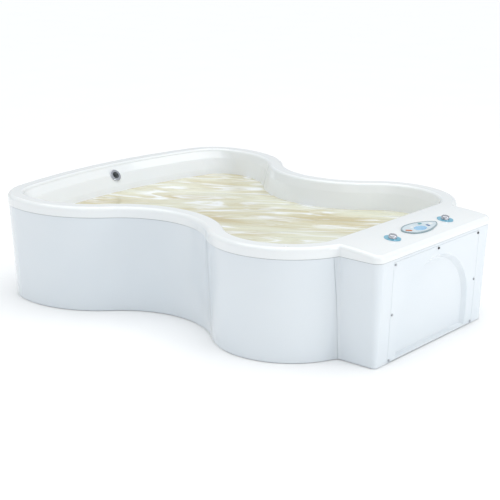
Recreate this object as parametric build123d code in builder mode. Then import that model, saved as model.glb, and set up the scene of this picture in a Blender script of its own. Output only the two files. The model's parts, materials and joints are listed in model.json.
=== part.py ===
from build123d import *
import math
import os

# Two-lobed massage bath with a console at one end, in millimetres.
# +X points to the console, +Z is up, and the origin is on the floor under the middle of the bath.

# Driving dimensions: plan
BATH_LENGTH = 2300.0
BATH_HEIGHT = 550.0
CONSOLE_END = BATH_LENGTH / 2
BOW_RADIUS = 2750.0
BOW_CENTRE = (BOW_RADIUS - CONSOLE_END, 0.0)
CORNER_RADIUS = 275.0
CORNER_RADIUS_LEAST = 130.0
SHOULDER_RADIUS = 550.0
SHOULDER_CENTRE = (-747.0, 321.0)
WAIST_RADIUS = 450.0
WAIST_HALF_WIDTH = 542.0
LOBE_RADIUS = 400.0
LOBE_CENTRE = (556.0, 354.0)
CONSOLE_HALF_WIDTH = 482.0
CONSOLE_CORNER = 45.0
NOTCH_RADIUS = 8.0

# Driving dimensions: section
SHELL = 6.0
LIP_BOTTOM = 497.0
RIM_WIDTH = 85.0
OUTER_ROUNDING = 21.0
INNER_ROUNDING = 18.0
ROLL_ANGLES = (12.0, 34.0, 56.0, 76.0)
DECK_EDGE_X = 850.0
CROWN_START_X = 880.0
DECK_CROWN_RADIUS = 1830.0
DECK_FILLET = 137.0
DECK_FILLET_LEAST = 60.0
FLOOR_Z = 112.0
SIDE_SLOPE = 0.23
BACKREST_REACH = 220.0
BACKREST_FADE = 250.0
SKIRT_TOP = 494.0
SKIRT_BOTTOM = 3.0
SKIRT_TOP_INSET = 3.0
SKIRT_BOTTOM_INSET = 25.0
SKIRT_THICKNESS = 5.0
JOINT_X = 922.0
JOINT_GAP = 1.5

# Driving dimensions: frame and feet
RAIL = 40.0
RAIL_WALL = 2.5
RAIL_Z = 68.0
POST = 25.0
SIDE_RAIL_Y = 300.0
CROSS_RAILS = ((-747.0, 826.0), (-5.0, 497.0), (556.0, 709.0), (1000.0, 437.0))
FAR_POST_X = -1085.0
BOARD_THICKNESS = 18.0
FEET = ((-747.0, 780.0), (-5.0, 450.0), (556.0, 660.0), (1000.0, 395.0), (-1040.0, SIDE_RAIL_Y))
PAD_RADIUS = 25.0
STUD_RADIUS = 6.0

# Driving dimensions: water fittings
JET_Z = 262.0
JET_ANGLES = ((SHOULDER_CENTRE, SHOULDER_RADIUS, 88.0), (SHOULDER_CENTRE, SHOULDER_RADIUS, 62.0),
              (LOBE_CENTRE, LOBE_RADIUS, 104.0), (LOBE_CENTRE, LOBE_RADIUS, 66.0))
JET_FLANGE = 35.0
JET_TUBE = 25.0
JET_BALL = 18.0
BALL_GAP = 0.3
BALL_DEPTH = 3.0
JET_SEAT = 1.6
MANIFOLD_Z = 195.0
AIR_Z = 335.0
PIPE = 20.0
AIR_PIPE = 10.0
DRAIN_X = 180.0
DRAIN_BORE = 24.0
DRAIN_FLANGE = 37.0
OVERFLOW_Z = 495.0
OVERFLOW_RADIUS = 36.0
OVERFLOW_BODY = 26.0
OVERFLOW_BORE = 20.0
SUCTION_RADIUS = 46.0
SUCTION_BODY = 26.0
WASTE_Z = 26.0
WASTE_PIPE = 20.0
PIPE_WALL = 2.5
OVERFLOW_PIPE = 12.0

# Driving dimensions: deck
DECK_ITEMS_X = 1038.0
KNOB_Y = 222.0
KNOB_RADIUS = 20.5
SPINDLE = 4.0
VALVE_RADIUS = 17.0
PANEL_X = 1030.0
PANEL_Y = 20.0
PANEL_SEAT = 1.5

LEAF_HALF_WIDTH = 58.0
LEAF_HALF_LENGTH = 127.0
LEAF_POINTS = ((-2, -127), (34, -107), (54, -56), (55, 13), (38, 76), (14, 121), (4, 127),
               (-8, 118), (-38, 68), (-56, 4), (-57, -59), (-38, -107))

os.makedirs("parts", exist_ok=True)


def save(piece, name):
    """Labels a finished piece and writes its file."""
    piece.part.label = name
    export_step(piece.part, "parts/" + name + ".step")


def along(centre, target, distance):
    """The point at a distance from centre, on the ray towards target."""
    dx = target[0] - centre[0]
    dy = target[1] - centre[1]
    scale = distance / math.hypot(dx, dy)
    return (centre[0] + dx * scale, centre[1] + dy * scale)


def crossing(centre_a, radius_a, centre_b, radius_b):
    """The upper of the two points where two circles cross."""
    dx = centre_b[0] - centre_a[0]
    dy = centre_b[1] - centre_a[1]
    gap = math.hypot(dx, dy)
    reach = (radius_a**2 - radius_b**2 + gap**2) / (2 * gap)
    rise = math.sqrt(radius_a**2 - reach**2)
    x = centre_a[0] + (dx * reach - dy * rise) / gap
    y = centre_a[1] + (dy * reach + dx * rise) / gap
    other_y = centre_a[1] + (dy * reach - dx * rise) / gap
    if other_y > y:
        return (centre_a[0] + (dx * reach + dy * rise) / gap, other_y)
    return (x, y)


WAIST_Y = WAIST_HALF_WIDTH + WAIST_RADIUS
WAIST_REACH = math.sqrt((SHOULDER_RADIUS + WAIST_RADIUS) ** 2 - (WAIST_Y - SHOULDER_CENTRE[1]) ** 2)
WAIST_CENTRE = (SHOULDER_CENTRE[0] + WAIST_REACH, WAIST_Y)
NOTCH_Y = CONSOLE_HALF_WIDTH + NOTCH_RADIUS
NOTCH_REACH = math.sqrt((LOBE_RADIUS + NOTCH_RADIUS) ** 2 - (NOTCH_Y - LOBE_CENTRE[1]) ** 2)
NOTCH_CENTRE = (LOBE_CENTRE[0] + NOTCH_REACH, NOTCH_Y)


def arc(centre, radius, start, end):
    """Adds the shorter arc about centre from start to end."""
    middle = ((start[0] + end[0]) / 2, (start[1] + end[1]) / 2)
    ThreePointArc(start, along(centre, middle, radius), end)


def lobe_arcs(side, end, last):
    """Adds half of the two-lobed plan, moved in by side, and by end at the far bow."""
    radius = max(CORNER_RADIUS - side, CORNER_RADIUS_LEAST)
    bow = BOW_RADIUS - end
    shoulder = SHOULDER_RADIUS - side
    corner = crossing(BOW_CENTRE, bow - radius, SHOULDER_CENTRE, shoulder - radius)
    bow_end = along(BOW_CENTRE, corner, bow)
    shoulder_start = along(SHOULDER_CENTRE, corner, shoulder)
    waist_start = along(SHOULDER_CENTRE, WAIST_CENTRE, shoulder)
    lobe_start = along(LOBE_CENTRE, WAIST_CENTRE, LOBE_RADIUS - side)
    arc(BOW_CENTRE, bow, (BOW_CENTRE[0] - bow, 0), bow_end)
    arc(corner, radius, bow_end, shoulder_start)
    arc(SHOULDER_CENTRE, shoulder, shoulder_start, waist_start)
    arc(WAIST_CENTRE, WAIST_RADIUS + side, waist_start, lobe_start)
    arc(LOBE_CENTRE, LOBE_RADIUS - side, lobe_start, last)


def outer_plan(inset, z):
    """The bath's whole outer plan at height z, moved in by inset."""
    notch_start = along(NOTCH_CENTRE, LOBE_CENTRE, NOTCH_RADIUS + inset)
    side_start = (NOTCH_CENTRE[0], CONSOLE_HALF_WIDTH - inset)
    side_end = (CONSOLE_END - CONSOLE_CORNER, CONSOLE_HALF_WIDTH - inset)
    face_start = (CONSOLE_END - inset, CONSOLE_HALF_WIDTH - CONSOLE_CORNER)
    corner_centre = (CONSOLE_END - CONSOLE_CORNER, CONSOLE_HALF_WIDTH - CONSOLE_CORNER)
    with BuildSketch(Plane.XY.offset(z)) as plan:
        with BuildLine():
            lobe_arcs(inset, inset, notch_start)
            arc(NOTCH_CENTRE, NOTCH_RADIUS + inset, notch_start, side_start)
            Line(side_start, side_end)
            arc(corner_centre, CONSOLE_CORNER - inset, side_end, face_start)
            Line(face_start, (CONSOLE_END - inset, 0))
            mirror(about=Plane.XZ)
        make_face()
    return plan.sketch


def basin_plan(side, end, z):
    """The basin's plan at height z: the lobes, closed by a straight wall under the deck."""
    wall_x = DECK_EDGE_X + RIM_WIDTH - side
    radius = max(RIM_WIDTH + DECK_FILLET - side, DECK_FILLET_LEAST)
    reach = LOBE_RADIUS - side - radius
    fillet_x = wall_x - radius
    rise = math.sqrt(reach**2 - (fillet_x - LOBE_CENTRE[0]) ** 2)
    centre = (fillet_x, LOBE_CENTRE[1] + rise)
    fillet_start = along(LOBE_CENTRE, centre, LOBE_RADIUS - side)
    with BuildSketch(Plane.XY.offset(z)) as plan:
        with BuildLine():
            lobe_arcs(side, end, fillet_start)
            arc(centre, radius, fillet_start, (wall_x, centre[1]))
            Line((wall_x, centre[1]), (wall_x, 0))
            mirror(about=Plane.XZ)
        make_face()
    return plan.sketch


def wall_inset(z):
    """How far in the basin's side wall is at height z."""
    return RIM_WIDTH + SIDE_SLOPE * (BATH_HEIGHT - z)


def backrest_inset(z):
    """How far in the basin's far wall, a reclining backrest, is at height z."""
    return RIM_WIDTH + BACKREST_REACH * (1 - math.exp((z - BATH_HEIGHT) / BACKREST_FADE))


# Heights above the basin floor, and how far the wall has curved in there to meet the floor
BASIN_ROUNDING = ((70.0, 0.0), (38.0, 4.0), (14.0, 20.0), (0.0, 55.0))


def roll_sections(grow):
    """Plans of the basin's mouth, rolling over from the flat rim into the wall."""
    plans = []
    for angle in ROLL_ANGLES:
        turn = math.radians(angle)
        inset = RIM_WIDTH - INNER_ROUNDING + (INNER_ROUNDING - grow) * math.sin(turn)
        z = BATH_HEIGHT - INNER_ROUNDING + (INNER_ROUNDING - grow) * math.cos(turn)
        plans.append(basin_plan(inset, inset, z))
    return plans


def basin_sections(grow):
    """Plans of the basin from mouth to floor, all moved out and down by grow."""
    run = 12.0
    rise = run * math.tan(math.radians(ROLL_ANGLES[0]))
    start = RIM_WIDTH - INNER_ROUNDING - run
    plans = [basin_plan(start, start, BATH_HEIGHT - grow + rise)]
    plans += roll_sections(grow)
    for z in (500.0, 440.0, 360.0, 280.0):
        plans.append(basin_plan(wall_inset(z) - grow, backrest_inset(z) - grow, z))
    for height, curl in BASIN_ROUNDING:
        z = FLOOR_Z + height
        plans.append(basin_plan(wall_inset(z) + curl - grow, backrest_inset(z) + curl - grow, z - grow))
    return [plan.face() for plan in plans]


def deck_z(x):
    """Height of the deck's top surface at x."""
    run = max(x - CROWN_START_X, 0.0)
    return BATH_HEIGHT - DECK_CROWN_RADIUS + math.sqrt(DECK_CROWN_RADIUS**2 - run**2)


def deck_plane(x, y=0.0, lift=0.0):
    """A plane tangent to the deck at x and y, raised along the deck's normal."""
    lean = math.asin((x - CROWN_START_X) / DECK_CROWN_RADIUS)
    normal = (math.sin(lean), 0, math.cos(lean))
    plane = Plane(origin=(x, y, deck_z(x)), x_dir=(math.cos(lean), 0, -math.sin(lean)), z_dir=normal)
    return plane.offset(lift)


def crown_side(drop):
    """Side view of everything under the rim's and the deck's top surface, lowered by drop."""
    top = BATH_HEIGHT - drop
    radius = DECK_CROWN_RADIUS - drop
    sweep_end = 9.0
    with BuildSketch(Plane.XZ) as side:
        with BuildLine():
            flat = Line((-CONSOLE_END - 50, top), (CROWN_START_X, top))
            crown = CenterArc((CROWN_START_X, top - radius), radius, 90, -sweep_end)
            low_end = ((crown @ 1).X, LIP_BOTTOM - 100)
            Polyline(crown @ 1, low_end, (-CONSOLE_END - 50, LIP_BOTTOM - 100), flat @ 0)
        make_face()
    return side.sketch


def rim_block(inset, drop, rounding):
    """A solid with the rim's plan and crowned top, moved in by inset and down by drop."""
    with BuildPart() as block:
        extrude(outer_plan(inset, LIP_BOTTOM), amount=BATH_HEIGHT - LIP_BOTTOM)
        extrude(crown_side(drop), amount=BATH_LENGTH, both=True, mode=Mode.INTERSECT)
        top = block.edges().filter_by(lambda edge: edge.center().Z > LIP_BOTTOM + 1)
        outline = top.filter_by(lambda edge: abs(edge.tangent_at(0.5).Z) < 0.3)
        fillet(outline.filter_by(lambda edge: not spans_deck(edge)), rounding)
    return block.part


def spans_deck(edge):
    """True for the line across the bath where the flat rim turns into the crowned deck."""
    return abs(edge.center().X - CROWN_START_X) < 1 and abs(edge.center().Y) < 1


def jet_plane(centre, radius, angle, side):
    """A plane on the basin wall at jet height, facing into the basin; side is 1 or -1 in Y."""
    turn = math.radians(angle)
    tilt = math.atan(SIDE_SLOPE)
    reach = radius - wall_inset(JET_Z)
    out = (math.cos(turn), side * math.sin(turn))
    origin = (centre[0] + reach * out[0], side * centre[1] + reach * out[1], JET_Z)
    normal = (-out[0] * math.cos(tilt), -out[1] * math.cos(tilt), math.sin(tilt))
    return Plane(origin=origin, x_dir=(-out[1], out[0], 0), z_dir=normal)


JET_PLANES = [jet_plane(*jet, side) for jet in JET_ANGLES for side in (-1, 1)]
FLOOR_PLANE = Plane(origin=(DRAIN_X, 0, FLOOR_Z))
BACKREST_FALL = math.exp((OVERFLOW_Z - BATH_HEIGHT) / BACKREST_FADE)
BACKREST_TILT = math.atan(BACKREST_REACH / BACKREST_FADE * BACKREST_FALL)
OVERFLOW_PLANE = Plane(
    origin=(-CONSOLE_END + backrest_inset(OVERFLOW_Z), 0, OVERFLOW_Z),
    x_dir=(0, -1, 0),
    z_dir=(math.cos(BACKREST_TILT), 0, math.sin(BACKREST_TILT)),
)
DECK_WALL_TILT = math.atan(SIDE_SLOPE)
SUCTION_PLANE = Plane(
    origin=(DECK_EDGE_X + RIM_WIDTH - wall_inset(MANIFOLD_Z), 0, MANIFOLD_Z),
    x_dir=(0, 1, 0),
    z_dir=(-math.cos(DECK_WALL_TILT), 0, math.sin(DECK_WALL_TILT)),
)


def leaf(shrink, plane):
    """The console panel's leaf outline on a plane, moved in by shrink: blunt at -Y, pointed at +Y."""
    wide = 1 - shrink / LEAF_HALF_WIDTH
    long = 1 - shrink / LEAF_HALF_LENGTH
    with BuildSketch(plane) as outline:
        with BuildLine():
            Spline([(x * wide, y * long) for x, y in LEAF_POINTS], periodic=True)
        make_face()
    return outline.sketch


def disc(plane, radius, low, high, mode=Mode.ADD):
    """Adds or cuts a round solid between two heights over a plane."""
    with BuildSketch(plane.offset(low)) as spot:
        Circle(radius)
    extrude(spot.sketch, amount=high - low, mode=mode)


def drilled(plane, radius, low, high):
    """Cuts a round hole or a flat round seat, between two heights over a plane."""
    disc(plane, radius, low, high, Mode.SUBTRACT)


def block(low, high, mode=Mode.ADD):
    """Adds or cuts a box between two opposite corners."""
    with BuildSketch(Plane.XY.offset(low[2])) as base:
        with Locations(((low[0] + high[0]) / 2, (low[1] + high[1]) / 2)):
            Rectangle(high[0] - low[0], high[1] - low[1])
    extrude(base.sketch, amount=high[2] - low[2], mode=mode)


def tube_along(points, corner, radius, mode=Mode.ADD):
    """Adds or cuts a round bar along straight runs joined by arcs of one radius."""
    with BuildLine() as path:
        if len(points) > 2:
            FilletPolyline(*points, radius=corner)
        else:
            Line(*points)
    start = path.line @ 0
    with BuildSketch(Plane(origin=start, z_dir=path.line % 0)) as section:
        Circle(radius)
    sweep(section.sketch, path=path.line, mode=mode)


def hexagon(plane, across, low, high, bore):
    """Adds a hexagon nut between two heights over a plane, with its bore."""
    with BuildSketch(plane.offset(low)) as outline:
        RegularPolygon(across / 2, 6, major_radius=False)
        Circle(bore, mode=Mode.SUBTRACT)
    extrude(outline.sketch, amount=high - low)


# ---------------------------------------------------------------- shell
with BuildPart() as tub_shell:
    add(rim_block(0, 0, OUTER_ROUNDING))
    add(rim_block(SHELL, SHELL, OUTER_ROUNDING - SHELL), mode=Mode.SUBTRACT)
    loft(basin_sections(SHELL), ruled=True)
    loft(basin_sections(0), ruled=True, mode=Mode.SUBTRACT)
    for jet in JET_PLANES:
        drilled(jet, JET_FLANGE + 0.3, -JET_SEAT, 30)
        drilled(jet, JET_TUBE + 0.2, -30, 5)
    drilled(OVERFLOW_PLANE, OVERFLOW_RADIUS + 0.3, -1.0, 30)
    drilled(OVERFLOW_PLANE, OVERFLOW_BODY + 0.2, -30, 5)
    drilled(SUCTION_PLANE, SUCTION_RADIUS + 0.3, -1.0, 30)
    drilled(SUCTION_PLANE, SUCTION_BODY + 0.2, -30, 5)
    drilled(FLOOR_PLANE, DRAIN_FLANGE + 0.3, -2.0, 20)
    drilled(FLOOR_PLANE, DRAIN_BORE + 4.2, -30, 5)
    for knob_y in (-KNOB_Y, KNOB_Y):
        drilled(deck_plane(DECK_ITEMS_X, knob_y), VALVE_RADIUS + 0.2, -30, 20)
    extrude(leaf(-0.4, deck_plane(PANEL_X, PANEL_Y, -PANEL_SEAT)), amount=20, mode=Mode.SUBTRACT)
    extrude(leaf(14.6, deck_plane(PANEL_X, PANEL_Y, -30)), amount=40, mode=Mode.SUBTRACT)
save(tub_shell, "tub_shell")


# ---------------------------------------------------------------- skirt and console casing
def skirt_loft(inset, mode=Mode.ADD):
    """Adds or cuts the whole skirt's tapering block, moved in by inset."""
    top = outer_plan(SKIRT_TOP_INSET + inset, SKIRT_TOP)
    bottom = outer_plan(SKIRT_BOTTOM_INSET + inset, SKIRT_BOTTOM)
    loft([top.face(), bottom.face()], ruled=True, mode=mode)


def apron(y_dir):
    """One half of the skirt round the lobes, on the side that y_dir points to."""
    with BuildPart() as half:
        skirt_loft(0)
        skirt_loft(SKIRT_THICKNESS, Mode.SUBTRACT)
        split(bisect_by=Plane(origin=(JOINT_X, 0, 0), z_dir=(-1, 0, 0)))
        split(bisect_by=Plane(origin=(0, y_dir * JOINT_GAP / 2, 0), z_dir=(0, y_dir, 0)))
    return half


apron_front = apron(-1)
save(apron_front, "apron_front")
apron_rear = apron(1)
save(apron_rear, "apron_rear")

with BuildPart() as rim_seal:
    seal_height = LIP_BOTTOM - SKIRT_TOP
    seal_inside = outer_plan(SKIRT_TOP_INSET + SKIRT_THICKNESS, SKIRT_TOP)
    extrude(outer_plan(SKIRT_TOP_INSET + 0.5, SKIRT_TOP), amount=seal_height)
    extrude(seal_inside, amount=seal_height, mode=Mode.SUBTRACT)
save(rim_seal, "rim_seal")

FACE_LEAN = math.atan((SKIRT_BOTTOM_INSET - SKIRT_TOP_INSET) / (SKIRT_TOP - SKIRT_BOTTOM))
END_FACE = Plane(
    origin=(CONSOLE_END - SKIRT_TOP_INSET, 0, SKIRT_TOP),
    x_dir=(0, 1, 0),
    z_dir=(math.cos(FACE_LEAN), 0, -math.sin(FACE_LEAN)),
)
PANEL_HALF_WIDTH = 362.0
PANEL_TOP = -13.0
PANEL_BOTTOM = -489.0
ARCH_HALF_WIDTH = 300.0
ARCH_SPRING = -340.0
ARCH_TOP = -59.0
ARCH_DEPTH = 18.0
ARCH_EDGE = 22.0
SCREW_SHANK = 2.4
SCREW_HEAD = 4.5
CAP_RADIUS = 6.5
SCREWS = ((-352, -24), (0, -24), (352, -24), (-352, -260), (352, -260), (-352, -479), (352, -479))


def face_rectangle(half_width, low, high, depth, thickness, mode=Mode.ADD):
    """Adds or cuts a plate in the end face's own plane, its front face at -depth."""
    with BuildSketch(END_FACE.offset(-depth)) as plate:
        with Locations((0, (low + high) / 2)):
            Rectangle(2 * half_width, high - low)
    extrude(plate.sketch, amount=-thickness, mode=mode)


def arch(inset, depth):
    """The arched field's outline at a depth behind the end face, moved in by inset."""
    half = ARCH_HALF_WIDTH - inset
    foot = PANEL_BOTTOM + 6 + inset / 2
    with BuildSketch(END_FACE.offset(-depth)) as field:
        with BuildLine():
            Polyline((-half, ARCH_SPRING), (-half, foot), (half, foot), (half, ARCH_SPRING))
            ThreePointArc((half, ARCH_SPRING), (0, ARCH_TOP - inset), (-half, ARCH_SPRING))
        make_face()
    return field.sketch.face()


with BuildPart() as console_casing:
    skirt_loft(0)
    skirt_loft(SKIRT_THICKNESS, Mode.SUBTRACT)
    split(bisect_by=Plane(origin=(JOINT_X + JOINT_GAP, 0, 0), z_dir=(1, 0, 0)))
    face_rectangle(376, -492, -1, SKIRT_THICKNESS - 0.5, SKIRT_THICKNESS)
    face_rectangle(334, -500, -40, 0, 30, Mode.SUBTRACT)
    face_rectangle(PANEL_HALF_WIDTH + 1.2, -500, PANEL_TOP + 1.2, -5, 5 + SKIRT_THICKNESS, Mode.SUBTRACT)
    with BuildSketch(END_FACE.offset(-15)) as screw_holes:
        with Locations(*SCREWS):
            Circle(SCREW_SHANK + 0.2)
    extrude(screw_holes.sketch, amount=15, mode=Mode.SUBTRACT)
save(console_casing, "console_casing")

with BuildPart() as service_panel:
    face_rectangle(PANEL_HALF_WIDTH, PANEL_BOTTOM, PANEL_TOP, 0, SKIRT_THICKNESS)
    loft([arch(-6, 1), arch(ARCH_EDGE - 6, ARCH_DEPTH + SKIRT_THICKNESS)], ruled=True)
    loft([arch(-1.2, -1), arch(ARCH_EDGE, ARCH_DEPTH)], ruled=True, mode=Mode.SUBTRACT)
    with BuildSketch(END_FACE.offset(-15)) as clear_holes:
        with Locations(*SCREWS):
            Circle(SCREW_SHANK + 0.6)
    extrude(clear_holes.sketch, amount=20, mode=Mode.SUBTRACT)
save(service_panel, "service_panel")


def screw_plane(place):
    """The end face's plane, moved to one screw."""
    origin = END_FACE.from_local_coords(Vector(*place, 0))
    return Plane(origin, x_dir=END_FACE.x_dir, z_dir=END_FACE.z_dir)


with BuildPart() as panel_screws:
    for place in SCREWS:
        disc(screw_plane(place), SCREW_SHANK, -18, 0.2)
        disc(screw_plane(place), SCREW_HEAD, 0, 2.4)
save(panel_screws, "panel_screws")


def screw_cap(place):
    """Adds one domed cap over a screw head."""
    spot = screw_plane(place)
    with BuildSketch(spot) as base:
        Circle(CAP_RADIUS)
    extrude(base.sketch, amount=4.5, taper=18)
    disc(spot, SCREW_HEAD + 0.2, -0.1, 2.6, Mode.SUBTRACT)


with BuildPart() as screw_caps_dark:
    for place in SCREWS[1:3]:
        screw_cap(place)
save(screw_caps_dark, "screw_caps_dark")
with BuildPart() as screw_caps_grey:
    for place in SCREWS[:1] + SCREWS[3:]:
        screw_cap(place)
save(screw_caps_grey, "screw_caps_grey")


# ---------------------------------------------------------------- frame and feet
def rails(trim):
    """Boxes of the welded frame's rails and posts, as corner pairs, shrunk by trim all round."""
    half = RAIL / 2 - trim
    low = RAIL_Z - half
    high = RAIL_Z + half
    boxes = []
    for side in (-1, 1):
        y = side * SIDE_RAIL_Y
        boxes.append(((FAR_POST_X - POST / 2 + trim, y - half, low), (1020 - trim, y + half, high)))
        boxes.append(post_box(FAR_POST_X, y, trim))
    for x, reach in CROSS_RAILS:
        boxes.append(((x - half, -reach - 12 + trim, low), (x + half, reach + 12 - trim, high)))
        boxes.append(post_box(x, -reach, trim))
        boxes.append(post_box(x, reach, trim))
    return boxes


def post_box(x, y, trim):
    """Corners of one upright post, from the rails to the underside of the rim or deck."""
    half = POST / 2 - trim
    top = deck_z(x + POST / 2) - SHELL - 0.5
    return ((x - half, y - half, RAIL_Z), (x + half, y + half, top))


with BuildPart() as frame:
    for low, high in rails(0):
        block(low, high)
    for low, high in rails(RAIL_WALL):
        block(low, high, Mode.SUBTRACT)
    for x, y in FEET:
        for side in (-1, 1):
            drilled(Plane.XY.shift_origin((x, side * y, 0)), STUD_RADIUS + 0.2, RAIL_Z - 25, RAIL_Z - 10)
save(frame, "frame")


def foot_planes():
    """The places of the ten levelling feet on the floor."""
    return [Plane(origin=(x, side * y, 0)) for x, y in FEET for side in (-1, 1)]


with BuildPart() as foot_studs:
    for place in foot_planes():
        disc(place, STUD_RADIUS, 6, 66)
save(foot_studs, "foot_studs")
with BuildPart() as foot_lock_nuts:
    for place in foot_planes():
        hexagon(place, 19, 40, 48, STUD_RADIUS + 0.1)
save(foot_lock_nuts, "foot_lock_nuts")
with BuildPart() as foot_pads:
    for place in foot_planes():
        disc(place, PAD_RADIUS, 0, 8)
        disc(place, 11, 8, 16)
        disc(place, STUD_RADIUS + 0.1, 6, 17, Mode.SUBTRACT)
save(foot_pads, "foot_pads")

with BuildPart() as floor_board:
    base = FLOOR_Z - SHELL - BOARD_THICKNESS
    curl = BASIN_ROUNDING[-1][1] + 1
    board = basin_plan(wall_inset(FLOOR_Z) + curl, backrest_inset(FLOOR_Z) + curl, base)
    extrude(board, amount=BOARD_THICKNESS)
    drilled(FLOOR_PLANE, 46, -FLOOR_Z, 0)
save(floor_board, "floor_board")

# ---------------------------------------------------------------- drain and overflow
with BuildPart() as drain_flange:
    disc(FLOOR_PLANE, DRAIN_FLANGE, -2, 1.5)
    disc(FLOOR_PLANE, DRAIN_BORE + 4, -12, -2)
    disc(FLOOR_PLANE, DRAIN_BORE, -15, 5, Mode.SUBTRACT)
save(drain_flange, "drain_flange")
with BuildPart() as drain_body:
    disc(FLOOR_PLANE, 40, -12, -6)
    disc(FLOOR_PLANE, DRAIN_BORE + 7, -62, -12)
    disc(FLOOR_PLANE, DRAIN_BORE, -70, -12, Mode.SUBTRACT)
    disc(FLOOR_PLANE, DRAIN_BORE + 4.1, -12.05, 0, Mode.SUBTRACT)
    disc(FLOOR_PLANE, DRAIN_BORE + 1, -34, -31)
    disc(FLOOR_PLANE, 4.05, -40, 0, Mode.SUBTRACT)
    with BuildSketch(FLOOR_PLANE.offset(-35)) as windows:
        with PolarLocations(15, 4, start_angle=45):
            Circle(8)
    extrude(windows.sketch, amount=6, mode=Mode.SUBTRACT)
save(drain_body, "drain_body")
with BuildPart() as drain_plug:
    disc(FLOOR_PLANE, DRAIN_BORE - 1.5, -3, 4)
    disc(FLOOR_PLANE, 4, -48, -3)
    fillet(drain_plug.edges().sort_by(Axis.Z)[-1], 2)
save(drain_plug, "drain_plug")
with BuildPart() as drain_nut:
    hexagon(FLOOR_PLANE, 80, -38, -26, DRAIN_BORE + 7.1)
save(drain_nut, "drain_nut")
with BuildPart() as waste_tee:
    tee_top = FLOOR_Z - 62
    tee_plane = Plane(origin=(DRAIN_X, 0, 0))
    inlet = ((DRAIN_X - 90, 0, WASTE_Z), (DRAIN_X, 0, WASTE_Z))
    outlet = ((DRAIN_X, 0, WASTE_Z), (DRAIN_X, 130, WASTE_Z))
    disc(tee_plane, DRAIN_BORE + 4, WASTE_Z - 24, tee_top)
    tube_along(inlet, 0, OVERFLOW_PIPE + 3)
    tube_along(outlet, 0, WASTE_PIPE)
    disc(tee_plane, DRAIN_BORE, WASTE_Z - 21, tee_top + 1, Mode.SUBTRACT)
    tube_along(inlet, 0, OVERFLOW_PIPE + 0.1, Mode.SUBTRACT)
    tube_along(outlet, 0, WASTE_PIPE - PIPE_WALL, Mode.SUBTRACT)
save(waste_tee, "waste_tee")

with BuildPart() as overflow_ring:
    disc(OVERFLOW_PLANE, OVERFLOW_RADIUS, -1, 5)
    fillet(overflow_ring.edges().sort_by(Axis.X)[-1], 4)
    disc(OVERFLOW_PLANE, OVERFLOW_BORE, -2, 6, Mode.SUBTRACT)
save(overflow_ring, "overflow_ring")
DOWNPIPE_X = -1092.0
with BuildPart() as overflow_body:
    disc(OVERFLOW_PLANE, OVERFLOW_BODY, -40, -1)
    block((DOWNPIPE_X - 15, -15, OVERFLOW_Z - 75), (DOWNPIPE_X + 55, 15, OVERFLOW_Z - 17))
    disc(OVERFLOW_PLANE, OVERFLOW_BORE, -36, 0, Mode.SUBTRACT)
    drilled(Plane(origin=(DOWNPIPE_X, 0, 0)), 12.1, OVERFLOW_Z - 80, OVERFLOW_Z - 50)
save(overflow_body, "overflow_body")
with BuildPart() as overflow_pipe:
    run = ((DOWNPIPE_X, 0, OVERFLOW_Z - 55), (DOWNPIPE_X, 0, WASTE_Z), (DRAIN_X - 40, 0, WASTE_Z))
    tube_along(run, 60, OVERFLOW_PIPE)
    tube_along(run, 60, OVERFLOW_PIPE - 2, Mode.SUBTRACT)
save(overflow_pipe, "overflow_pipe")

# ---------------------------------------------------------------- jets and pipework
STUB_DEPTH = 45.0
WATER_STUB = 12.0
AIR_STUB = 7.0


def ball_centre(plane):
    """Where a jet's ball sits, behind its flange."""
    return plane.from_local_coords(Vector(0, 0, -BALL_DEPTH))


with BuildPart() as jet_rings:
    for jet in JET_PLANES:
        disc(jet, JET_FLANGE, -JET_SEAT, 4)
        with Locations(ball_centre(jet)):
            Sphere(JET_BALL + BALL_GAP, mode=Mode.SUBTRACT)
save(jet_rings, "jet_rings")


def upright_plane(plane):
    """A level plane on the floor, under the point where a jet's water and air branches join it."""
    spot = plane.from_local_coords(Vector(0, 0, -STUB_DEPTH))
    return Plane(origin=(spot.X, spot.Y, 0))


with BuildPart() as jet_bodies:
    for jet in JET_PLANES:
        upright = upright_plane(jet)
        disc(jet, JET_TUBE, -62, -JET_SEAT)
        disc(upright, WATER_STUB, MANIFOLD_Z + 21, JET_Z)
        disc(upright, AIR_STUB, JET_Z, AIR_Z - 12)
        drilled(jet, JET_BALL + 0.6, -40, 0)
        drilled(jet, 12, -56, -39)
        drilled(upright, 9, MANIFOLD_Z + 20, JET_Z - 20)
        drilled(upright, 5, JET_Z + 20, AIR_Z)
save(jet_bodies, "jet_bodies")

with BuildPart() as jet_nuts:
    for jet in JET_PLANES:
        hexagon(jet, 66, -22, -9, JET_TUBE + 0.1)
save(jet_nuts, "jet_nuts")

for number, jet in enumerate(JET_PLANES, start=1):
    with BuildPart() as nozzle:
        with Locations(ball_centre(jet)):
            Sphere(JET_BALL)
        disc(jet, 9, 0, 17)
        disc(jet, 30, -40, -BALL_DEPTH - 13, Mode.SUBTRACT)
        drilled(jet, 5.5, -30, 20)
    save(nozzle, "jet_nozzle_" + str(number))


def ring_line(inset, gap):
    """Adds a pipe's centre line round the lobes to the console, in plan, open by gap at the console."""
    with BuildLine() as line:
        lobe_arcs(inset, inset, (LOBE_CENTRE[0] + LOBE_RADIUS - inset, LOBE_CENTRE[1]))
        end_x = LOBE_CENTRE[0] + LOBE_RADIUS - inset
        Line((end_x, LOBE_CENTRE[1]), (end_x, gap))
        mirror(about=Plane.XZ)
    return line.line


RING_INSET = wall_inset(JET_Z) - STUB_DEPTH * math.cos(math.atan(SIDE_SLOPE))
RING_END_X = LOBE_CENTRE[0] + LOBE_RADIUS - RING_INSET
FEED_X = RING_END_X + 76
RING_GAP = 100.0


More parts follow.
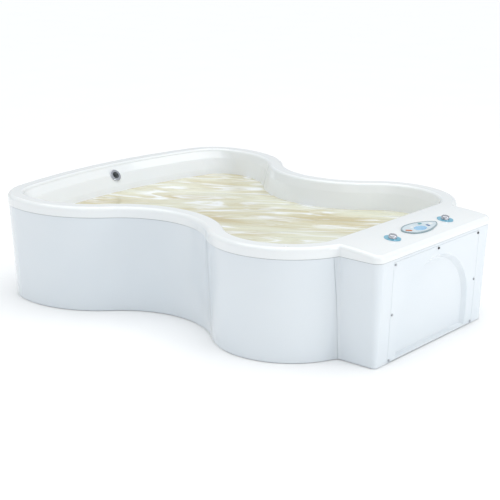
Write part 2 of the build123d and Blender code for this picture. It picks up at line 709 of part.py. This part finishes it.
def ring_pipe(z, radius, mode=Mode.ADD):
    """Adds or cuts the ring pipe round the lobes at height z."""
    path = ring_line(RING_INSET, RING_GAP).moved(Location((0, 0, z)))
    with BuildSketch(Plane(origin=path @ 0, z_dir=path % 0)) as section:
        Circle(radius)
    sweep(section.sketch, path=path, mode=mode)


with BuildPart() as water_manifold:
    ring_pipe(MANIFOLD_Z, PIPE)
    feed = ((RING_END_X, -130, MANIFOLD_Z), (FEED_X, -130, MANIFOLD_Z), (FEED_X, -80, MANIFOLD_Z))
    tube_along(feed, 25, PIPE)
    for jet in JET_PLANES:
        disc(upright_plane(jet), WATER_STUB + 4, MANIFOLD_Z, MANIFOLD_Z + 27)
    ring_pipe(MANIFOLD_Z, PIPE - PIPE_WALL, Mode.SUBTRACT)
    for jet in JET_PLANES:
        drilled(upright_plane(jet), WATER_STUB + 0.1, MANIFOLD_Z + 21, MANIFOLD_Z + 35)
save(water_manifold, "water_manifold")

VALVE_BOTTOM = -70.0
with BuildPart() as air_manifold:
    ring_pipe(AIR_Z, AIR_PIPE)
    for jet in JET_PLANES:
        disc(upright_plane(jet), AIR_PIPE, AIR_Z - 24, AIR_Z)
        drilled(upright_plane(jet), AIR_STUB + 0.1, AIR_Z - 25, AIR_Z - 12)
    riser_x = DECK_ITEMS_X - 6
    riser = ((RING_END_X, -KNOB_Y, AIR_Z), (riser_x, -KNOB_Y, AIR_Z), (riser_x, -KNOB_Y, 470))
    tube_along(riser, 40, AIR_PIPE - 2)
save(air_manifold, "air_manifold")

with BuildPart() as suction_cover:
    disc(SUCTION_PLANE, SUCTION_RADIUS, -1, 7)
    fillet(suction_cover.edges().sort_by(Axis.X)[0], 5)
    with BuildSketch(SUCTION_PLANE.offset(-5)) as slots:
        with GridLocations(9, 0, 7, 1):
            SlotOverall(SUCTION_RADIUS, 4, rotation=90)
    extrude(slots.sketch, amount=20, mode=Mode.SUBTRACT)
save(suction_cover, "suction_cover")
with BuildPart() as suction_body:
    disc(SUCTION_PLANE, SUCTION_BODY, -34, -1)
    disc(SUCTION_PLANE, 38, -14, -8)
    disc(SUCTION_PLANE, 23, -30, 0, Mode.SUBTRACT)
    drilled(Plane(origin=(0, 0, MANIFOLD_Z), z_dir=(1, 0, 0)), PIPE + 0.1, 780, 850)
save(suction_body, "suction_body")
PUMP_X = 880.0
VOLUTE_RADIUS = 66.0
MOTOR_RADIUS = 58.0
with BuildPart() as suction_pipe:
    tube_along(((790, 0, MANIFOLD_Z), (PUMP_X, 0, MANIFOLD_Z)), 0, PIPE)
    bore = ((789, 0, MANIFOLD_Z), (PUMP_X + 1, 0, MANIFOLD_Z))
    tube_along(bore, 0, PIPE - PIPE_WALL, Mode.SUBTRACT)
save(suction_pipe, "suction_pipe")

PUMP_AXIS = Plane(origin=(PUMP_X, 0, MANIFOLD_Z), z_dir=(1, 0, 0))
with BuildPart() as pump_wet_end:
    disc(PUMP_AXIS, 28, 0, 16)
    disc(PUMP_AXIS, VOLUTE_RADIUS, 16, 74)
    rounds = pump_wet_end.edges().filter_by(GeomType.CIRCLE)
    fillet(rounds.filter_by(lambda edge: abs(edge.radius - VOLUTE_RADIUS) < 0.1), 8)
    tube_along(((FEED_X, -40, MANIFOLD_Z), (FEED_X, -80, MANIFOLD_Z)), 0, PIPE + 4)
save(pump_wet_end, "pump_wet_end")
with BuildPart() as pump_motor:
    disc(PUMP_AXIS, MOTOR_RADIUS, 74, 196)
    fillet(pump_motor.edges().filter_by(GeomType.CIRCLE), 6)
    with BuildSketch(PUMP_AXIS.offset(92)) as fins:
        with PolarLocations(MOTOR_RADIUS, 24):
            Rectangle(8, 3)
    extrude(fins.sketch, amount=80)
    block((PUMP_X + 100, -30, MANIFOLD_Z + 50), (PUMP_X + 170, 30, MANIFOLD_Z + 88))
save(pump_motor, "pump_motor")
with BuildPart() as pump_base:
    rail_top = RAIL_Z + RAIL / 2
    block((PUMP_X + 60, -60, rail_top), (PUMP_X + 190, 60, rail_top + 6))
    block((PUMP_X + 90, -40, rail_top + 6), (PUMP_X + 160, 40, MANIFOLD_Z - 30))
    disc(PUMP_AXIS, MOTOR_RADIUS + 4.5, 60, 200, Mode.SUBTRACT)
save(pump_base, "pump_base")

# ---------------------------------------------------------------- deck valves and knobs
KNOB_PLANES = [deck_plane(DECK_ITEMS_X, knob_y) for knob_y in (-KNOB_Y, KNOB_Y)]
with BuildPart() as knob_plates:
    for plane in KNOB_PLANES:
        with BuildSketch(plane) as oval:
            Ellipse(41, 35)
            Circle(VALVE_RADIUS + 0.2, mode=Mode.SUBTRACT)
        extrude(oval.sketch, amount=3)
save(knob_plates, "knob_plates")
with BuildPart() as valve_bodies:
    for plane in KNOB_PLANES:
        disc(plane, VALVE_RADIUS, VALVE_BOTTOM, 4)
        disc(plane, 26, -24, -SHELL - 0.5)
        disc(plane, SPINDLE + 0.05, -20, 5, Mode.SUBTRACT)
save(valve_bodies, "valve_bodies")
for name, plane in zip(("air_knob", "diverter_knob"), KNOB_PLANES):
    with BuildPart() as knob:
        with BuildSketch(plane.offset(4.5)) as grip:
            Circle(KNOB_RADIUS)
        extrude(grip.sketch, amount=15, taper=6)
        fillet(knob.edges().filter_by(GeomType.CIRCLE).sort_by(Axis.Z)[-1], 7)
        with BuildSketch(plane.offset(15)) as mark:
            with Locations((-12, 0)):
                SlotOverall(9, 3)
        extrude(mark.sketch, amount=10, mode=Mode.SUBTRACT)
        disc(plane, SPINDLE, -18, 6)
    save(knob, name)

# ---------------------------------------------------------------- control panel
SEAT_PLANE = deck_plane(PANEL_X, PANEL_Y, -PANEL_SEAT)
BEZEL_WIDTH = 6.0
KEY_GAP = 0.4
KEY_TRAVEL = 1.0
# Each key's centre, size and turn in degrees on the panel
KEYS = (("power_button", (-2.0, -94.0), (32.0, 14.0), 45.0), ("key_jets", (-27.0, 34.0), (14.0, 22.0), 0.0),
        ("key_light", (11.0, 47.0), (22.0, 12.0), 0.0), ("key_mode", (3.0, 79.0), (20.0, 22.0), 0.0),
        ("key_set", (-20.0, -45.0), (12.0, 18.0), 0.0))
WINDOW_CENTRE = (12.0, -19.0)
WINDOW = (26.0, 40.0)


def key_outline(place, size, turn, grow, plane):
    """One key's rounded outline, grown all round."""
    with BuildSketch(plane) as outline:
        with Locations(place):
            RectangleRounded(size[0] + 2 * grow, size[1] + 2 * grow, min(size) * 0.42, rotation=turn)
    return outline.sketch


with BuildPart() as panel_bezel:
    extrude(leaf(0, SEAT_PLANE), amount=7)
    fillet(panel_bezel.faces().sort_by(Axis.Z)[-1].edges(), 2)
    extrude(leaf(BEZEL_WIDTH, SEAT_PLANE), amount=20, mode=Mode.SUBTRACT)
save(panel_bezel, "panel_bezel")
with BuildPart() as panel_face:
    extrude(leaf(BEZEL_WIDTH + 0.1, SEAT_PLANE), amount=5.5)
    for name, place, size, turn in KEYS:
        extrude(key_outline(place, size, turn, KEY_GAP, SEAT_PLANE), amount=10, mode=Mode.SUBTRACT)
    with BuildSketch(SEAT_PLANE) as opening:
        with Locations(WINDOW_CENTRE):
            Ellipse(*WINDOW)
    extrude(opening.sketch, amount=10, mode=Mode.SUBTRACT)
save(panel_face, "panel_face")
with BuildPart() as display_window:
    with BuildSketch(SEAT_PLANE.offset(2)) as pane:
        with Locations(WINDOW_CENTRE):
            Ellipse(WINDOW[0] - 0.05, WINDOW[1] - 0.05)
    extrude(pane.sketch, amount=3.8)
save(display_window, "display_window")
for name, place, size, turn in KEYS:
    with BuildPart() as key:
        extrude(key_outline(place, size, turn, 0, SEAT_PLANE.offset(KEY_TRAVEL + 0.3)), amount=5.4)
        fillet(key.faces().sort_by(Axis.Z)[-1].edges(), 0.8)
    save(key, name)
with BuildPart() as panel_housing:
    extrude(leaf(15, SEAT_PLANE), amount=-26)
    extrude(leaf(18, SEAT_PLANE.offset(1)), amount=-24.5, mode=Mode.SUBTRACT)
save(panel_housing, "panel_housing")
with BuildPart() as circuit_board:
    extrude(leaf(18.2, SEAT_PLANE.offset(-4)), amount=-1.6)
save(circuit_board, "circuit_board")

# ---------------------------------------------------------------- control box and its cable
BOX_LOW = (960.0, 230.0, RAIL_Z + RAIL / 2)
BOX_HIGH = (1080.0, 400.0, 230.0)
GLAND = (1020.0, 300.0)
GLAND_PLANE = Plane(origin=(*GLAND, 0))
LEAD_RADIUS = 3.0
with BuildPart() as control_box:
    block(BOX_LOW, (BOX_HIGH[0], BOX_HIGH[1], BOX_HIGH[2] - 6))
    inside_low = (BOX_LOW[0] + 3, BOX_LOW[1] + 3, BOX_LOW[2] + 3)
    inside_high = (BOX_HIGH[0] - 3, BOX_HIGH[1] - 3, BOX_HIGH[2] + 10)
    block(inside_low, inside_high, Mode.SUBTRACT)
save(control_box, "control_box")
with BuildPart() as control_box_lid:
    lid_low = (BOX_LOW[0] - 2, BOX_LOW[1] - 2, BOX_HIGH[2] - 6)
    block(lid_low, (BOX_HIGH[0] + 2, BOX_HIGH[1] + 2, BOX_HIGH[2]))
    drilled(GLAND_PLANE, 8.1, BOX_HIGH[2] - 10, BOX_HIGH[2] + 1)
save(control_box_lid, "control_box_lid")
with BuildPart() as cable_gland:
    disc(GLAND_PLANE, 8, BOX_HIGH[2] - 12, BOX_HIGH[2])
    hexagon(GLAND_PLANE, 24, BOX_HIGH[2], BOX_HIGH[2] + 14, LEAD_RADIUS + 0.1)
    disc(GLAND_PLANE, LEAD_RADIUS + 0.1, BOX_HIGH[2] - 20, BOX_HIGH[2] + 15, Mode.SUBTRACT)
save(cable_gland, "cable_gland")

# The lead from the control panel to the control box runs inside the console, clipped under the deck
with BuildPart() as panel_cable:
    lead = ((1008, 40, 516), (1008, 40, 420), (*GLAND, 420), (*GLAND, BOX_HIGH[2] - 15))
    tube_along(lead, 43, LEAD_RADIUS)
save(panel_cable, "panel_cable")
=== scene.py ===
"""Looks for the two-lobed massage bath: acrylic, chrome, the display panel, the pipework and the studio."""

import bmesh
import bpy
import json
import math
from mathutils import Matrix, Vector

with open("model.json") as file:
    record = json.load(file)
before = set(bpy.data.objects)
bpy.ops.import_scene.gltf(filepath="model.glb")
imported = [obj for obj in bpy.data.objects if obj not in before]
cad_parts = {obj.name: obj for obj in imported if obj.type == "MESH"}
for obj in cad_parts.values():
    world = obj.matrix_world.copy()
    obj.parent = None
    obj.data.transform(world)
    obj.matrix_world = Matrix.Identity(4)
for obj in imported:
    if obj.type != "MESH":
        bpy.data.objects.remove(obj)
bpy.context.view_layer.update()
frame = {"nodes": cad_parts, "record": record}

# Lengths are in metres, angles in degrees, lens and sensor in millimetres and lamp power in watts.

# ---------------------------------------------------------------- studio
CAMERA_PLACE = (3.938, -4.572, 1.996)
CAMERA_AZIMUTH = 40.75
CAMERA_ELEVATION = 16.2
CAMERA_REACH = 60.0
LENS = 86.0
SENSOR = 36.0

WORLD_COLOUR = (0.93, 0.97, 1.0, 1)
WORLD_STRENGTH = 0.63
SKY_COLOUR = (1.0, 0.985, 0.965)
SKY_STRENGTH = 1.3
SKY_SPREAD = 80.0
SKY_HEIGHT = 5.0

SIDE_FILL_PLACE = (2.6, -5.2, 3.0)
SIDE_FILL_TARGET = (0.2, 0, 0.3)
SIDE_FILL_SIZE = (2.5, 1.6)
SIDE_FILL_POWER = 6
END_FILL_PLACE = (5.2, 0.9, 1.9)
END_FILL_TARGET = (1.1, 0, 0.3)
END_FILL_SIZE = (2.4, 1.8)
END_FILL_POWER = 42

LAMP_ROWS = 2
LAMP_COLUMNS = 4
FIRST_LAMP = (-1.5, -0.9, 3.4)
LAMP_STEP = (1.0, 1.7)
LAMP_POWER = 5
LAMP_RADIUS = 0.03

FLOOR_REACH = 30.0
FLOOR_COLOUR = (0.985, 0.985, 0.985)
FLOOR_MOTTLE = (0.975, 0.975, 0.98)


def add_camera():
    """The camera, at the reference viewing angle."""
    data = bpy.data.cameras.new("camera")
    data.lens = LENS
    data.sensor_width = SENSOR
    data.clip_end = CAMERA_REACH
    camera = bpy.data.objects.new("camera", data)
    camera.location = CAMERA_PLACE
    camera.rotation_euler = (math.radians(90 - CAMERA_ELEVATION), 0, math.radians(CAMERA_AZIMUTH))
    bpy.context.scene.collection.objects.link(camera)
    bpy.context.scene.camera = camera


def add_area(name, place, target, size, power):
    """A rectangular soft white light at a place, turned to a target."""
    data = bpy.data.lights.new(name, "AREA")
    data.shape = "RECTANGLE"
    data.size, data.size_y = size
    data.energy = power
    light = bpy.data.objects.new(name, data)
    light.location = place
    light.rotation_euler = (Vector(target) - Vector(place)).to_track_quat("-Z", "Y").to_euler()
    bpy.context.scene.collection.objects.link(light)


def add_lamp(name, place, power, radius):
    """A small ceiling lamp, which shows as a bright point in the gloss."""
    data = bpy.data.lights.new(name, "POINT")
    data.energy = power
    data.shadow_soft_size = radius
    light = bpy.data.objects.new(name, data)
    light.location = place
    bpy.context.scene.collection.objects.link(light)


def add_sky_panel():
    """Broad light from straight above, even over the whole floor."""
    data = bpy.data.lights.new("sky_panel", "SUN")
    data.energy = SKY_STRENGTH
    data.angle = math.radians(SKY_SPREAD)
    data.color = SKY_COLOUR
    light = bpy.data.objects.new("sky_panel", data)
    light.location = (0, 0, SKY_HEIGHT)
    bpy.context.scene.collection.objects.link(light)


def add_world():
    """Even, slightly cool white surroundings."""
    world = bpy.data.worlds.new("studio")
    bpy.context.scene.world = world
    world.use_nodes = True
    background = world.node_tree.nodes["Background"]
    background.inputs["Color"].default_value = WORLD_COLOUR
    background.inputs["Strength"].default_value = WORLD_STRENGTH


def add_floor():
    """A plain pale floor without a gloss."""
    mesh = bpy.data.meshes.new("floor")
    reach = FLOOR_REACH
    corners = [(-reach, -reach, 0), (reach, -reach, 0), (reach, reach, 0), (-reach, reach, 0)]
    mesh.from_pydata(corners, [], [(0, 1, 2, 3)])
    floor = bpy.data.objects.new("floor", mesh)
    bpy.context.scene.collection.objects.link(floor)
    paint = finish("floor_paint", FLOOR_COLOUR, 0.95, mottle=FLOOR_MOTTLE, mottle_scale=2.0)
    paint.node_tree.nodes["Principled BSDF"].inputs["Specular IOR Level"].default_value = 0.0
    floor.data.materials.append(paint)


# ---------------------------------------------------------------- materials
FLOW_DIRECTION = 33.0
FLOW_STRETCH = (2.4, 0.75, 1.0)
WATER_DEEP = (0.56, 0.47, 0.24)
WATER_PALE = (0.74, 0.74, 0.57)
WATER_INDEX = 1.33
FOAM_COLOUR = (0.90, 0.93, 0.94, 1)
FOAM_CONTRAST = 3.3

MOTTLE_SHADE = 0.93         # how much darker a finish's second tone is, unless one is given
SMEAR_FINENESS = 3.1        # how much finer the uneven roughness is than the mottle
LEAST_ROUGHNESS = 0.01
COAT_ROUGHNESS = 0.04


def new_material(name):
    """An empty node material and its main shader."""
    material = bpy.data.materials.new(name)
    material.use_nodes = True
    return material, material.node_tree.nodes["Principled BSDF"]


def add_coordinates(material, scale=(1, 1, 1)):
    """Object coordinates, stretched by scale."""
    nodes, links = material.node_tree.nodes, material.node_tree.links
    coordinates = nodes.new("ShaderNodeTexCoord")
    mapping = nodes.new("ShaderNodeMapping")
    mapping.inputs["Scale"].default_value = scale
    links.new(coordinates.outputs["Object"], mapping.inputs["Vector"])
    return mapping.outputs["Vector"]


def add_noise(material, vector, scale, detail=3.0, distortion=0.0):
    """A noise pattern of the given scale per metre."""
    node = material.node_tree.nodes.new("ShaderNodeTexNoise")
    node.inputs["Scale"].default_value = scale
    node.inputs["Detail"].default_value = detail
    node.inputs["Distortion"].default_value = distortion
    material.node_tree.links.new(vector, node.inputs["Vector"])
    return node.outputs["Fac"]


def add_ramp(material, factor, low, high, start=0.3, end=0.7):
    """A ramp between two colours."""
    node = material.node_tree.nodes.new("ShaderNodeValToRGB")
    node.color_ramp.elements[0].position = start
    node.color_ramp.elements[0].color = (*low, 1)
    node.color_ramp.elements[1].position = end
    node.color_ramp.elements[1].color = (*high, 1)
    material.node_tree.links.new(factor, node.inputs["Fac"])
    return node.outputs["Color"]


def add_range(material, factor, low, high):
    """Maps a pattern to a range of numbers."""
    node = material.node_tree.nodes.new("ShaderNodeMapRange")
    node.inputs["To Min"].default_value = low
    node.inputs["To Max"].default_value = high
    material.node_tree.links.new(factor, node.inputs["Value"])
    return node.outputs["Result"]


def add_bump(material, shader, height, strength, distance):
    """Bumps the shader's surface by a height pattern."""
    node = material.node_tree.nodes.new("ShaderNodeBump")
    node.inputs["Strength"].default_value = strength
    node.inputs["Distance"].default_value = distance
    material.node_tree.links.new(height, node.inputs["Height"])
    material.node_tree.links.new(node.outputs["Normal"], shader.inputs["Normal"])


def finish(name, colour, roughness, metallic=0.0, coat=0.0, mottle=None, mottle_scale=8.0, spread=0.04,
           grain_scale=220.0, grain=0.05, grain_depth=0.0004, stretch=(1, 1, 1)):
    """A moulded, painted or metal finish: two-tone mottle, uneven roughness and a fine grain."""
    material, shader = new_material(name)
    vector = add_coordinates(material, stretch)
    tone = add_noise(material, vector, mottle_scale)
    second = mottle or tuple(MOTTLE_SHADE * c for c in colour)
    colours = add_ramp(material, tone, second, colour)
    links = material.node_tree.links
    links.new(colours, shader.inputs["Base Color"])
    smear = add_noise(material, vector, mottle_scale * SMEAR_FINENESS, detail=5.0)
    smoothest = max(roughness - spread, LEAST_ROUGHNESS)
    links.new(add_range(material, smear, smoothest, roughness + spread), shader.inputs["Roughness"])
    shader.inputs["Metallic"].default_value = metallic
    shader.inputs["Coat Weight"].default_value = coat
    shader.inputs["Coat Roughness"].default_value = COAT_ROUGHNESS
    if grain:
        add_bump(material, shader, add_noise(material, vector, grain_scale, detail=2.0), grain, grain_depth)
    return material


def acrylic(name, colour, cool):
    """Vacuum-formed gloss acrylic: a faintly uneven, slightly rippled sheet under a clear coat."""
    material, shader = new_material(name)
    links = material.node_tree.links
    vector = add_coordinates(material)
    tone = add_noise(material, vector, 1.7, detail=2.0)
    links.new(add_ramp(material, tone, cool, colour), shader.inputs["Base Color"])
    smear = add_noise(material, vector, 9.0, detail=6.0)
    links.new(add_range(material, smear, 0.05, 0.12), shader.inputs["Roughness"])
    shader.inputs["Coat Weight"].default_value = 0.6
    shader.inputs["Coat Roughness"].default_value = 0.03
    shader.inputs["Subsurface Weight"].default_value = 0.06
    shader.inputs["Subsurface Radius"].default_value = (0.01, 0.012, 0.014)
    add_bump(material, shader, add_noise(material, vector, 6.0, detail=1.0), 0.12, 0.002)
    return material


def chrome(name):
    """Polished chrome plate with faint wiping marks."""
    return finish(name, (0.64, 0.65, 0.69), 0.08, metallic=1.0, mottle=(0.54, 0.55, 0.60),
                  mottle_scale=30.0, spread=0.03, grain_scale=90.0, grain=0.02, grain_depth=0.0003)


def plywood(name):
    """Sealed plywood: long grain along the bath."""
    return finish(name, (0.55, 0.41, 0.25), 0.5, mottle=(0.42, 0.29, 0.16), mottle_scale=24.0, spread=0.1,
                  grain_scale=160.0, grain=0.2, grain_depth=0.0006, stretch=(0.08, 1, 1))


def galvanised(name):
    """Galvanised steel with its spangle."""
    material, shader = new_material(name)
    links = material.node_tree.links
    vector = add_coordinates(material)
    cells = material.node_tree.nodes.new("ShaderNodeTexVoronoi")
    cells.inputs["Scale"].default_value = 70.0
    links.new(vector, cells.inputs["Vector"])
    channels = material.node_tree.nodes.new("ShaderNodeSeparateColor")
    links.new(cells.outputs["Color"], channels.inputs["Color"])
    dark, pale = (0.42, 0.45, 0.48), (0.62, 0.65, 0.68)
    spangle = add_ramp(material, channels.outputs["Red"], dark, pale, 0.0, 1.0)
    links.new(spangle, shader.inputs["Base Color"])
    links.new(add_range(material, channels.outputs["Green"], 0.28, 0.5), shader.inputs["Roughness"])
    shader.inputs["Metallic"].default_value = 1.0
    add_bump(material, shader, add_noise(material, vector, 400.0), 0.08, 0.0003)
    return material


def key_paint(name, colour, mottle=None):
    """The printed film over a key."""
    return finish(name, colour, 0.35, mottle=mottle, mottle_scale=90.0, grain=0.1)


def water(name):
    """Churned, mineral-tinted bath water: tinted swell, with streaks of foam drawn out along the flow."""
    material, shader = new_material(name)
    links = material.node_tree.links
    flow = add_coordinates(material)
    mapping = flow.node
    mapping.vector_type = "TEXTURE"
    mapping.inputs["Rotation"].default_value = (0, 0, math.radians(FLOW_DIRECTION))
    mapping.inputs["Scale"].default_value = FLOW_STRETCH
    swell = add_noise(material, flow, 2.6, detail=4.0, distortion=1.6)
    streaks = add_noise(material, flow, 5.5, detail=9.0, distortion=2.2)
    tint = add_ramp(material, swell, WATER_DEEP, WATER_PALE, 0.36, 0.60)
    foam = add_range(material, streaks, -FOAM_CONTRAST, FOAM_CONTRAST)
    mix = material.node_tree.nodes.new("ShaderNodeMix")
    mix.data_type = "RGBA"
    mix.clamp_factor = True
    mix.inputs["B"].default_value = FOAM_COLOUR
    links.new(foam, mix.inputs["Factor"])
    links.new(tint, mix.inputs["A"])
    links.new(mix.outputs["Result"], shader.inputs["Base Color"])
    links.new(add_range(material, streaks, 0.04, 0.2), shader.inputs["Roughness"])
    shader.inputs["IOR"].default_value = WATER_INDEX
    shader.inputs["Coat Weight"].default_value = 0.5
    add_bump(material, shader, add_noise(material, flow, 6.0, detail=5.0, distortion=1.2), 0.6, 0.02)
    return material


def build_materials():
    """One finish for each of the record's material slots."""
    return {
        "acrylic_shell": acrylic("acrylic_shell", (0.88, 0.90, 0.905), (0.85, 0.88, 0.895)),
        # The skirt is the same white acrylic as the shell. Its darker, bluer tones are painted shade for the
        # bath's sides, which the light from above leaves in shade.
        "acrylic_skirt": acrylic("acrylic_skirt", (0.77, 0.815, 0.85), (0.73, 0.785, 0.83)),
        "seal_rubber": finish("seal_rubber", (0.38, 0.40, 0.42), 0.6, grain=0.2),
        "chrome": chrome("chrome"),
        "galvanised_steel": galvanised("galvanised_steel"),
        "stainless_steel": finish("stainless_steel", (0.55, 0.56, 0.57), 0.3, metallic=1.0,
                                  grain_scale=500.0, grain=0.1),
        "foot_rubber": finish("foot_rubber", (0.035, 0.035, 0.04), 0.75, grain=0.3),
        "plywood": plywood("plywood"),
        "pvc_grey": finish("pvc_grey", (0.30, 0.32, 0.34), 0.42, grain=0.1),
        "pvc_white": finish("pvc_white", (0.78, 0.79, 0.79), 0.4, grain=0.1),
        "motor_paint": finish("motor_paint", (0.05, 0.06, 0.08), 0.35, coat=0.3, grain=0.25),
        "box_plastic": finish("box_plastic", (0.62, 0.65, 0.66), 0.5, grain=0.2),
        "cap_grey": finish("cap_grey", (0.42, 0.44, 0.47), 0.4, mottle_scale=60.0, grain=0.1),
        "cap_dark": finish("cap_dark", (0.03, 0.03, 0.035), 0.4, mottle_scale=60.0, grain=0.1),
        "knob_plate_blue": finish("knob_plate_blue", (0.09, 0.38, 0.55), 0.18, coat=0.6,
                                  mottle=(0.20, 0.50, 0.66), mottle_scale=22.0, grain=0.02),
        "bezel_teal": finish("bezel_teal", (0.27, 0.37, 0.41), 0.2, coat=0.5, mottle_scale=40.0, grain=0.03),
        "panel_light_grey": finish("panel_light_grey", (0.66, 0.74, 0.78), 0.3, coat=0.3,
                                   mottle=(0.58, 0.68, 0.74), mottle_scale=30.0, grain=0.08),
        "display_blue": finish("display_blue", (0.30, 0.62, 0.88), 0.08, coat=1.0,
                               mottle=(0.18, 0.46, 0.78), mottle_scale=45.0, grain=0.0),
        "key_orange": key_paint("key_orange", (0.62, 0.15, 0.03), mottle=(0.50, 0.11, 0.02)),
        "key_teal": key_paint("key_teal", (0.08, 0.32, 0.36)),
        "key_blue": key_paint("key_blue", (0.03, 0.10, 0.30)),
        "key_white": key_paint("key_white", (0.85, 0.87, 0.88)),
        "circuit_green": finish("circuit_green", (0.02, 0.16, 0.06), 0.35, mottle_scale=120.0, grain=0.1),
        "cable_black": finish("cable_black", (0.02, 0.02, 0.02), 0.5, mottle_scale=120.0, grain=0.2),
    }


def dress_cad_nodes(materials):
    """Gives every CAD node the finish of its slot."""
    for part in frame["record"]["subparts"]:
        node = frame["nodes"][part["node"]]
        material = materials[part["material_slot"]]
        if not node.material_slots:
            node.data.materials.append(material)
        for material_slot in node.material_slots:
            material_slot.material = material


# ---------------------------------------------------------------- water
WATER_LEVEL = 0.412
SAME_PLACE = 1e-5           # vertices nearer than this are one
FEWEST_POINTS = 30          # a cut loop with fewer points is a small hole, not the basin


def basin_loop(level):
    """The basin's inner outline at a height, as points in order round it."""
    mesh = bmesh.new()
    mesh.from_mesh(frame["nodes"]["tub_shell"].data)
    bmesh.ops.remove_doubles(mesh, verts=mesh.verts, dist=SAME_PLACE)
    geometry = mesh.verts[:] + mesh.edges[:] + mesh.faces[:]
    cut = bmesh.ops.bisect_plane(mesh, geom=geometry, plane_co=(0, 0, level), plane_no=(0, 0, 1))
    edges = [e for e in cut["geom_cut"] if isinstance(e, bmesh.types.BMEdge)]
    loops = chain_edges(edges)
    mesh.free()
    loops = [loop for loop in loops if len(loop) > FEWEST_POINTS]
    return min(loops, key=lambda loop: abs(loop_area(loop)))


def chain_edges(edges):
    """Joins cut edges end to end into loops of points."""
    left = set(edges)
    loops = []
    while left:
        edge = left.pop()
        start, here = edge.verts
        points = [start.co.copy(), here.co.copy()]
        while here != start:
            following = next((e for e in here.link_edges if e in left), None)
            if following is None:
                break
            left.remove(following)
            here = following.other_vert(here)
            points.append(here.co.copy())
        loops.append(points)
    return loops


def loop_area(points):
    """Signed area inside a loop, in plan."""
    pairs = zip(points, points[1:] + points[:1])
    return 0.5 * sum(a.x * b.y - b.x * a.y for a, b in pairs)


def add_water():
    """The bath's fill: a separate object in the scene, because it isn't part of the object."""
    mesh = bmesh.new()
    loop = basin_loop(WATER_LEVEL)
    corners = [mesh.verts.new((point.x, point.y, WATER_LEVEL)) for point in loop[:-1]]
    mesh.faces.new(corners)
    data = bpy.data.meshes.new("water")
    mesh.to_mesh(data)
    mesh.free()
    surface = bpy.data.objects.new("water", data)
    bpy.context.scene.collection.objects.link(surface)
    surface.data.materials.append(water("water"))


def light_studio():
    """Light from above, fills on the near side and at the console, and ceiling lamps that sparkle."""
    add_sky_panel()
    add_area("fill", SIDE_FILL_PLACE, SIDE_FILL_TARGET, SIDE_FILL_SIZE, SIDE_FILL_POWER)
    add_area("end_fill", END_FILL_PLACE, END_FILL_TARGET, END_FILL_SIZE, END_FILL_POWER)
    for row in range(LAMP_ROWS):
        for column in range(LAMP_COLUMNS):
            x = FIRST_LAMP[0] + LAMP_STEP[0] * column
            y = FIRST_LAMP[1] + LAMP_STEP[1] * row
            add_lamp("ceiling_lamp_%d_%d" % (row, column), (x, y, FIRST_LAMP[2]), LAMP_POWER, LAMP_RADIUS)


add_camera()
add_world()
add_floor()
dress_cad_nodes(build_materials())
add_water()
light_studio()
bpy.context.scene.view_settings.view_transform = "Standard"
